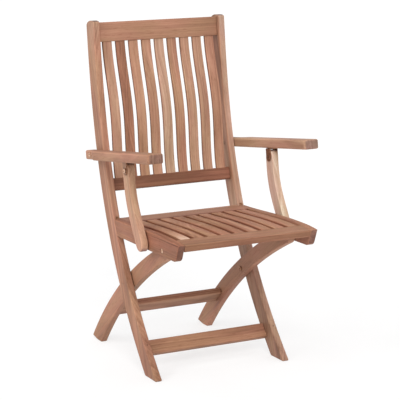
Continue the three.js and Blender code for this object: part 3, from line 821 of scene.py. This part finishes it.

# Greyer tops, and painted shade that darkens the feet and the inner face, the inner face above the
# seat also redder
top_end, foot_end = (V, 870.0, 60.0), (V, 330.0, -160.0)
inner_face = (W, STILE_INNER + 3.0, -2.5)
above_seat, below_seat = (V, 430.0, 60.0), (V, 330.0, -100.0)
stile_grain = straight_grain(
    (0.30, 1.0), shift(-0.06, -0.55, top_end), shift(-0.04, 0.0, foot_end),
    shift(-0.20, 0.90, inner_face, above_seat), shift(-0.20, 0.15, inner_face, below_seat))
wood_pair("stile", lambda: plank(stile_points, STILE_INNER, HALF_WIDTH), stile_grain,
          (look(0.11, -0.65, 0.9), look(0.02, 0.15, 0.9)))

across_frame("top_rail",
             cross_outline(STILE, TOP_RAIL_SHARES, STILE_HALF - TOP_RAIL_INSET, TOP_RAIL_THICK),
             cross_grain(), look(-0.06, 0.1, 0.6))
across_frame("lower_back_rail",
             cross_outline(STILE, LOW_RAIL_SHARES, STILE_HALF - LOW_RAIL_INSET, LOW_RAIL_THICK),
             cross_grain(), look(-0.42, 0.7, 0.8))
across_frame("front_stretcher",
             cross_outline(STILE, FRONT_STRETCHER_SHARES, STILE_HALF - FRONT_STRETCHER_INSET,
                           STRETCHER_THICK),
             cross_grain(), look(-0.04, 0.3, 1.0))


def slat_centre(i, pitch):
    """x of the middle of slat i, counted from the chair's left."""
    return (i - (SLAT_COUNT - 1) / 2) * pitch


def slat(outline, centre):
    return plank(outline, centre - SLAT_WIDTH / 2, centre + SLAT_WIDTH / 2, SLAT_EASE)


def back_slat_points():
    def front(part):
        return STILE_HALF - BACK_SLAT_INSET + BACK_SLAT_BOW * math.sin(math.pi * part) ** 2

    def back(part):
        return front(part) - BACK_SLAT_THICK

    ahead = run_beside(STILE, BACK_SLAT_SHARES, front, SLAT_STEPS)
    behind = run_beside(STILE, BACK_SLAT_SHARES, back, SLAT_STEPS)
    return behind + ahead[::-1]


# Each slat has a tone of its own
BACK_TONES = [look(0.08, -0.22), look(-0.24, 0.6), look(0.03, 0.08), look(0.03, -0.05),
              look(0.24, -0.55), look(0.01, 0.1), look(0.10, -0.2), look(-0.01, -0.25),
              look(0.03, 0.0)]
back_pitch = (STILE_INNER * 2 - SLAT_COUNT * SLAT_WIDTH) / (SLAT_COUNT + 1) + SLAT_WIDTH
back_points = back_slat_points()
back_grain = grain_map((BACK_SLAT_LEAN, 1.0, 0.0),
                       lambda u, v, w: (v, w, u - BACK_SLAT_LEAN * v))
for i, tone in enumerate(BACK_TONES):
    wood(f"back_slat_{i + 1}", slat(back_points, slat_centre(i, back_pitch)), back_grain, tone,
         material=TEAK_SLATS)


# Rear legs

def leg_rear(share):
    """How far the leg's rear edge is from its curve."""
    return (LEG_TOP_WIDTH + (LEG_FOOT_WIDTH - LEG_TOP_WIDTH) * share) / 2


def leg_front(share):
    return -leg_rear(share)


def leg_outline():
    """The leg's board, made too long at the foot and cut to a flat sole with a rising heel."""
    points = board_outline(LEG, (0, 1), leg_front, leg_rear, LONG_STEPS, (leg_rear(0), 0))
    for corner in (LONG_STEPS, LONG_STEPS + 1):
        points[corner] = points[corner] + LEG.run(1) * LEG_FOOT_WIDTH
    toe_share = share_where(lambda share: beside(LEG, share, leg_front(share)).y, 0.0)
    toe = beside(LEG, toe_share, leg_front(toe_share)).x
    return cut_below(cut_below(points), toe + LEG_SOLE, LEG_FOOT_RISE)


leg_points = leg_outline()
wood_pair("rear_leg", lambda: plank(leg_points, LEG_INNER, LEG_OUTER),
          straight_grain((1.0, -0.72)), (look(0.03, 0.25, 0.35), look(0.06, 0.3, 0.3)))
across_frame("rear_stretcher",
             cross_outline(LEG, REAR_STRETCHER_SHARES, STRETCHER_THICK / 2, STRETCHER_THICK),
             cross_grain(), look(-0.05, 0.2, 1.0), half_length=LEG_INNER)


# Seat

def seat_rail_outline():
    """From the rear end, which stands off the stile's seat rest, over the top to the lip."""
    stand_off = STILE_HALF + REST_THICK + 2 * FIT_GAP
    low, high = (share_where(lambda share: beside(STILE, share, stand_off).y, height)
                 for height in (RAIL_BOTTOM_REAR, SEAT_REAR[1] - RAIL_REAR_CORNER))
    rear = run_beside(STILE, (low, high), stand_off, RAIL_REAR_STEPS)
    top = seat_line(rear[-1].x - RAIL_REAR_CORNER, SEAT_BROW[0] + BROW_BEFORE, MIDDLE_STEPS)
    lip = seat_line(SEAT_BROW[0] - BROW_AFTER, SEAT_LIP[0], RAIL_LIP_STEPS)
    corner = (SEAT_LIP[0] + RAIL_FACE_SLANT + RAIL_CORNER, RAIL_BOTTOM_FRONT + RAIL_CORNER)
    return rear + top + lip + arc(corner, RAIL_CORNER, math.pi + RAIL_FACE_LEAN, math.pi * 1.5)


def ledge_outline(line, at_start, reach, lean=0.0):
    """A cross board of the seat below its top line, with a ledge of the given reach that carries
    the slats at the line's start or end. Lean moves the lower corner at the line's end."""
    top = list(line)
    bottom = [Vector((p.x, p.y - SEAT_CROSS_THICK)) for p in reversed(line)]
    bottom[0].x += lean
    end = line[0] if at_start else line[-1]
    high, low = end.y - SEAT_SLAT_THICK - FIT_GAP, end.y - SEAT_CROSS_THICK
    ledge = [Vector((end.x, high)), Vector((end.x + reach, high)), Vector((end.x + reach, low))]
    if at_start:
        return top + bottom[:-1] + ledge[::-1]
    return top + ledge + bottom[1:]


rail_points = seat_rail_outline()
wood_pair("seat_rail",
          lambda: bored(plank(rail_points, STILE_INNER, HALF_WIDTH), SEAT_PIVOT, SEAT_BORE,
                        HALF_WIDTH - SEAT_BORE_DEPTH, HALF_WIDTH + OVERRUN),
          straight_grain((1.0, -0.02)), (look(-0.06, 0.5, 0.8), look(-0.16, 0.9, 0.6)))

front_height = seat_point(SEAT_SLAT_FRONT).y
front_line = [Vector((SEAT_SLAT_FRONT - FIT_GAP, front_height)),
              Vector((SEAT_LIP[0], front_height - FRONT_RAIL_FALL))]
# Painted shade on its face below the lip
below_lip = (V, front_line[1].y, -3.0)
across_frame("seat_front_rail", ledge_outline(front_line, True, SEAT_LEDGE, FRONT_RAIL_LEAN),
             cross_grain(shift(-0.12, 0.5, below_lip)), look(-0.14, 0.2, 0.8), CROSS_EASE)
rear_line = seat_line(REAR_RAIL_REAR, SEAT_SLAT_REAR + FIT_GAP, REAR_LINE_STEPS)
# Painted shade in the seam towards the slats' rear ends and on its ledge under them
near_slats = (U, rear_line[-1].x + 5.0, -4.0)
across_frame("seat_rear_rail", ledge_outline(rear_line, False, -SEAT_LEDGE),
             cross_grain(shift(-0.55, 0.3, near_slats)), look(-0.02, 0.1, 1.0), CROSS_EASE,
             STILE_INNER - FIT_GAP)
batten_middle = seat_point(BATTEN_Y).y - SEAT_SLAT_THICK - 2 * FIT_GAP - BATTEN_HALF_DEPTH
across_frame("seat_batten",
             [Vector((BATTEN_Y + a * BATTEN_HALF_WIDTH, batten_middle + b * BATTEN_HALF_DEPTH))
              for a, b in ((-1, -1), (1, -1), (1, 1), (-1, 1))],
             cross_grain(), look(-0.08, 0.3, 1.0), CROSS_EASE)

SEAT_TONES = [look(0.09, 0.3), look(0.05, 0.5), look(0.11, 0.3), look(0.07, 0.5),
              look(0.03, 0.6), look(0.11, 0.3), look(0.07, 0.6), look(0.12, 0.3),
              look(0.07, 0.5)]
seat_pitch = ((STILE_INNER - SEAT_SIDE_GAP) * 2 - SLAT_WIDTH) / (SLAT_COUNT - 1)
slat_line = seat_line(SEAT_SLAT_REAR, SEAT_SLAT_FRONT, MIDDLE_STEPS)
slat_points = slat_line + [Vector((p.x, p.y - SEAT_SLAT_THICK)) for p in reversed(slat_line)]
# The first slat is bleached towards its front end
front_half = (U, -170.0, -120.0)
bleach = shift(0.7, -0.5, front_half)
for i, tone in enumerate(SEAT_TONES):
    shades = [bleach] if i == 0 else []
    seat_grain = grain_map((1.0, 0.0, 0.0), lambda u, v, w: (u, w, v), *shades)
    wood(f"seat_slat_{i + 1}", slat(slat_points, slat_centre(i, seat_pitch)), seat_grain, tone,
         material=TEAK_SLATS)


# Arms

def arm_plan():
    """The armrest's plan from its rear end, round the front and back along the flare."""
    outer, tongue = ARM_INNER + ARM_WIDTH, ARM_INNER + ARM_TONGUE
    front = ARM_CORNER - ARM_REACH
    points = [Vector((ARM_INNER, ARM_TAIL))]
    points += arc((ARM_INNER + ARM_CORNER, front), ARM_CORNER, math.pi, math.pi * 1.5)
    points += arc((outer - ARM_CORNER, front), ARM_CORNER, -math.pi / 2, 0)
    start, middle, end = ARM_FLARE
    flare = Curve((outer, start), (outer, middle), (tongue, middle), (tongue, end))
    points += [flare.at(i / FLARE_STEPS) for i in range(FLARE_STEPS + 1)]
    points += [Vector((tongue, ARM_TAIL - ARM_TAIL_CORNER)),
               Vector((tongue - ARM_TAIL_CORNER, ARM_TAIL))]
    return points


arm_points = arm_plan()
wood_pair("armrest", lambda: plank(arm_points, -ARM_THICK / 2, ARM_THICK / 2, ARM_EASE),
          grain_map((0.0, 1.0, 0.0), lambda u, v, w: (v, u, w)),
          (look(0.10, -0.25, 1.0), look(-0.07, 0.15, 1.0)), from_arm)

support_points = board_outline(SUPPORT, (0, 1), -SUPPORT_HALF, SUPPORT_HALF, MIDDLE_STEPS,
                               (SUPPORT_HALF, SUPPORT_TAIL))
SUPPORT_GRAIN = (0.34, 1.0)
# The right support is bleached, and its outer face is less so
outer_face = (W, SUPPORT_OUTER - 4.0, 3.0)
wood("right_arm_support", plank(support_points, SUPPORT_INNER, SUPPORT_OUTER),
     straight_grain(SUPPORT_GRAIN, shift(-0.26, 0.9, outer_face)), look(0.47, -1.0, 0.6))
wood("left_arm_support", plank(support_points, SUPPORT_INNER, SUPPORT_OUTER),
     straight_grain(SUPPORT_GRAIN), look(0.22, -0.08, 1.1), mirrored=True)

# Fittings

# Shares of the head's radius or height: the socket's radius and floor, the height at which the
# dome starts, how much of the radius it takes and how far it rises. The dome's turn is a share
# of a right angle
SOCKET_SHARE, SOCKET_FLOOR_SHARE, RIM_SHARE = 0.42, 0.30, 0.42
DOME_WIDTH_SHARE, DOME_RISE_SHARE, DOME_TURN_SHARE = 0.38, 0.56, 0.8


def bolt(length):
    """A bolt from its end cap to a domed head with a socket."""
    socket, floor = HEAD * SOCKET_SHARE, length + HEAD_DEEP * SOCKET_FLOOR_SHARE
    top, rim = length + HEAD_DEEP, length + HEAD_DEEP * RIM_SHARE
    profile = [(0, 0), (SHANK - SHANK_EASE, 0), (SHANK, SHANK_EASE), (SHANK, length),
               (HEAD - HEAD_EASE, length), (HEAD, length + HEAD_EASE), (HEAD, rim)]
    for turn in quarter_turn(DOME_STEPS)[1:]:
        reached = turn * DOME_TURN_SHARE
        profile.append((HEAD * (1 - DOME_WIDTH_SHARE * (1 - math.cos(reached))),
                        rim + HEAD_DEEP * DOME_RISE_SHARE * math.sin(reached)))
    profile += [(socket + SOCKET_EASE, top), (socket, top - SOCKET_EASE), (socket, floor),
                (0, floor)]
    return lathe(profile)


def washer(thick):
    outer, bore, ease = WASHER_RADIUS, WASHER_BORE, WASHER_EASE
    mesh = lathe([(bore, ease), (bore + ease, 0), (outer - ease, 0), (outer, ease),
                  (outer, thick - ease), (outer - ease, thick), (bore + ease, thick),
                  (bore, thick - ease), (bore, ease)])
    # The profile's last ring lies on its first
    bmesh.ops.remove_doubles(mesh, verts=mesh.verts, dist=WELD)
    return mesh


def set_at(mesh, centre, start, outward=True):
    """Moves a turned piece to its centre, its foot at start, pointing to larger or smaller x."""
    for vert in mesh.verts:
        along = vert.co.z if outward else -vert.co.z
        vert.co = Vector((centre[0] + vert.co.x, centre[1] + vert.co.y, start + along))
    return mesh


# Name, centre, x of the end cap, x of the head's underside and material
for name, centre, cap, head, material in (
        ("crossing_bolt", CROSSING, HALF_WIDTH + FIT_GAP, LEG_INNER - FIT_GAP, BRASS),
        ("seat_bolt", SEAT_PIVOT, LEG_INNER - HEAD_DEEP, HALF_WIDTH - HEAD_DEEP - FIT_GAP,
         HIGHLIGHT_BRASS),
        ("arm_bolt", ARM_PIVOT, STILE_INNER, ARM_INNER + ARM_TONGUE + FIT_GAP, HIGHLIGHT_BRASS),
        ("bracket_bolt", SUPPORT_TOP, EAR_INNER, EAR_OUTER + FIT_GAP, HIGHLIGHT_BRASS)):
    brass_pair(name, lambda: set_at(bolt(abs(head - cap)), centre, cap, head > cap),
               material=material)

stub_length = STUB_PROUD + BOARD / 2
brass_pair("support_stub", lambda: set_at(
    lathe([(0, 0), (SHANK - STUB_EASE, 0), (SHANK, STUB_EASE), (SHANK, stub_length),
           (0, stub_length)]), SUPPORT_LOW, SUPPORT_INNER - STUB_PROUD))

washer_low, washer_high = LEG_OUTER + FIT_GAP, STILE_INNER - FIT_GAP
for name, centre in (("crossing_washer", CROSSING), ("seat_washer", SEAT_PIVOT)):
    brass_pair(name, lambda: set_at(washer(washer_high - washer_low), centre, washer_low))


def strip_section(mesh, outer, inner, middle, half_width):
    """One section across the bracket's strip, between its two faces at (x, w), with eased
    corners."""
    ease = min(STRIP_EASE, half_width / 2)
    turns = quarter_turn(STRIP_STEPS)
    ring = []
    for face, other, side, turns_here in (
            (outer, inner, -1, turns), (inner, outer, -1, turns[::-1]),
            (inner, outer, 1, turns), (outer, inner, 1, turns[::-1])):
        for turn in turns_here:
            share = ease * (1 - math.cos(turn)) / EAR_THICK
            x, w = (a + (b - a) * share for a, b in zip(face, other))
            v = middle + side * (half_width - ease * (1 - math.sin(turn)))
            ring.append(mesh.verts.new((x, v, w)))
    return ring


def bracket():
    """A strip bent into a channel: a plate under the armrest and two ears with round ends."""
    arm_y = SUPPORT_TOP[0] - ARM_PIVOT[0]
    arm_z = SUPPORT_TOP[1] - ARM_PIVOT[1]
    pin_v = arm_y * math.cos(ARM_TILT) - arm_z * math.sin(ARM_TILT)
    pin_w = arm_y * math.sin(ARM_TILT) + arm_z * math.cos(ARM_TILT)
    top = -ARM_THICK / 2 - FIT_GAP
    # The strip's way from one ear's tip to the plate: outer face, inner face, half its width
    way = []
    for turn in quarter_turn(EAR_STEPS):
        drop = pin_w - EAR_HALF * math.cos(turn)
        way.append(((EAR_INNER, drop), (EAR_INNER + EAR_THICK, drop), EAR_HALF * math.sin(turn)))
    tight = EAR_BEND - EAR_THICK
    for turn in quarter_turn(BEND_STEPS):
        over, under = 1 - math.cos(turn), 1 - math.sin(turn)
        way.append(((EAR_INNER + EAR_BEND * over, top - EAR_BEND * under),
                    (EAR_INNER + EAR_THICK + tight * over, top - EAR_THICK - tight * under),
                    EAR_HALF))
    # The other half is its mirror image
    span = EAR_INNER + EAR_OUTER
    way += [((span - outer[0], outer[1]), (span - inner[0], inner[1]), wide)
            for outer, inner, wide in reversed(way)]
    mesh = bmesh.new()
    rings = [strip_section(mesh, outer, inner, pin_v, max(wide, STRIP_LEAST_WIDTH))
             for outer, inner, wide in way]
    join_rings(mesh, rings)
    mesh.faces.new(rings[0])
    mesh.faces.new(rings[-1][::-1])
    return mesh


brass_pair("arm_bracket", bracket, from_arm)


def seat_rest():
    """A brass angle on the stile's front face with a foot under the seat rail."""
    back = STILE_HALF + FIT_GAP
    low = RAIL_BOTTOM_REAR - FIT_GAP - REST_THICK
    foot_top = low + REST_THICK
    shares = [share_where(lambda share: beside(STILE, share, back).y, height)
              for height in (low, low + REST_RISE)]
    behind = run_beside(STILE, shares, back, REST_STEPS)
    ahead = run_beside(STILE, shares, back + REST_THICK, REST_STEPS)
    ahead = [p for p in ahead if p.y > foot_top + FIT_GAP]
    toe = behind[0].x - REST_FOOT
    outline = behind + ahead[::-1] + [Vector((ahead[0].x, foot_top)), Vector((toe, foot_top)),
                                      Vector((toe, low))]
    middle = HALF_WIDTH - BOARD / 2
    return plank(outline, middle - REST_WIDTH / 2, middle + REST_WIDTH / 2, REST_EASE)


brass_pair("seat_rest", seat_rest)


def stretcher_peg():
    """The end of a peg that holds the front stretcher's tenon, just proud of the stile."""
    foot = beside(STILE, PEG_SHARE, STILE_HALF - PEG_DEPTH + PEG_PROUD)
    ahead = STILE.run(PEG_SHARE)
    out = Vector((-ahead.y, ahead.x))
    mesh = lathe([(0, 0), (PEG_RADIUS, 0), (PEG_RADIUS, PEG_DEPTH - PEG_EASE),
                  (PEG_RADIUS - PEG_EASE, PEG_DEPTH), (0, PEG_DEPTH)], PEG_SIDES)
    for vert in mesh.verts:
        place = foot + ahead * vert.co.x + out * vert.co.z
        vert.co = Vector((place.x, place.y, STILE_INNER + BOARD / 2 + vert.co.y))
    return mesh


peg_grain = grain_map((-1.0, 0.4, 0.0), lambda u, v, w: (u, v, w))
for side, mirrored in (("right", False), ("left", True)):
    wood(side + "_stretcher_peg", stretcher_peg(), peg_grain, look(-0.5, 0.3, 0.5),
         mirrored=mirrored, carrier=side + "_stile")


# Studio

FLOOR_CELLS, FLOOR_SIZE = 24, 60.0
SUN_SOFTNESS = 24


def grey(level):
    return (level, level, level)


def studio_floor():
    """A pale floor that also shines by itself, so that it stays even and nearly without shadow."""
    mesh = bmesh.new()
    bmesh.ops.create_grid(mesh, x_segments=FLOOR_CELLS, y_segments=FLOOR_CELLS, size=FLOOR_SIZE)
    data = bpy.data.meshes.new("floor")
    mesh.to_mesh(data)
    mesh.free()
    floor = bpy.data.objects.new("floor", data)
    bpy.context.scene.collection.objects.link(floor)
    material, tree, shader = new_material("studio_floor")
    speck = noise(tree, node(tree, "ShaderNodeTexCoord").outputs["Object"], 3.0, 2.0)
    feed(tree, ramp(tree, speck, [(0.3, grey(0.29)), (0.7, grey(0.31))]),
         shader.inputs["Base Color"])
    shader.inputs["Emission Color"].default_value = (1.0, 1.0, 1.0, 1.0)
    shader.inputs["Emission Strength"].default_value = 0.68
    shader.inputs["Roughness"].default_value = 0.9
    shader.inputs["Specular IOR Level"].default_value = 0.1
    data.materials.append(material)


def studio_sky():
    """A pale sky, a little darker towards its top."""
    world = bpy.data.worlds.new("studio")
    world.use_nodes = True
    tree = world.node_tree
    parts = node(tree, "ShaderNodeSeparateXYZ")
    feed(tree, node(tree, "ShaderNodeTexCoord").outputs["Generated"], parts.inputs[0])
    background = tree.nodes["Background"]
    feed(tree, ramp(tree, parts.outputs[2], [(0.0, grey(1.0)), (0.4, grey(0.98)),
                                             (1.0, (0.82, 0.82, 0.83))]),
         background.inputs["Color"])
    background.inputs["Strength"].default_value = 0.84
    bpy.context.scene.world = world


def sun(name, source, strength, colour):
    """A wide soft light from the direction of source, SUN_SOFTNESS degrees across."""
    lamp = bpy.data.lights.new(name, "SUN")
    lamp.energy = strength
    lamp.angle = math.radians(SUN_SOFTNESS)
    lamp.color = colour
    holder = bpy.data.objects.new(name, lamp)
    holder.location = source
    holder.rotation_mode = "QUATERNION"
    holder.rotation_quaternion = (-Vector(source)).to_track_quat("-Z", "Y")
    bpy.context.scene.collection.objects.link(holder)


studio_floor()
studio_sky()
sun("front", (-1.1, -3.2, 2.5), 1.5, (1.0, 0.985, 0.97))
sun("left", (-3.3, -0.5, 2.5), 0.8, (1.0, 0.99, 0.98))

# Camera

# The camera that fits the photograph's edges. Its distance and height are in metres
AZIMUTH, YAW = math.radians(-25.518), math.radians(-0.335)
PITCH, ROLL = math.radians(-10.816), math.radians(-1.028)
DISTANCE, EYE_HEIGHT = 4.18784, 1.2506
FOCAL_PIXELS, FRAME_PIXELS = 1515.904, 400
SENSOR_WIDTH, FARTHEST = 36.0, 60.0

turned = AZIMUTH + YAW
forward = Vector((-math.sin(turned) * math.cos(PITCH), math.cos(turned) * math.cos(PITCH),
                  math.sin(PITCH)))
right = forward.cross(Vector((0, 0, 1))).normalized()
up = right.cross(forward)
rolled_right = right * math.cos(ROLL) + up * math.sin(ROLL)
rolled_up = up * math.cos(ROLL) - right * math.sin(ROLL)
lens = bpy.data.cameras.new("camera")
lens.sensor_width = SENSOR_WIDTH
lens.lens = SENSOR_WIDTH * FOCAL_PIXELS / FRAME_PIXELS
lens.clip_end = FARTHEST
camera = bpy.data.objects.new("camera", lens)
camera.matrix_world = Matrix((rolled_right, rolled_up, -forward)).transposed().to_4x4()
camera.location = (math.sin(AZIMUTH) * DISTANCE, -math.cos(AZIMUTH) * DISTANCE + SHIFT_Y * MM,
                   EYE_HEIGHT)
bpy.context.scene.collection.objects.link(camera)
bpy.context.scene.camera = camera
bpy.context.scene.view_settings.view_transform = "Standard"
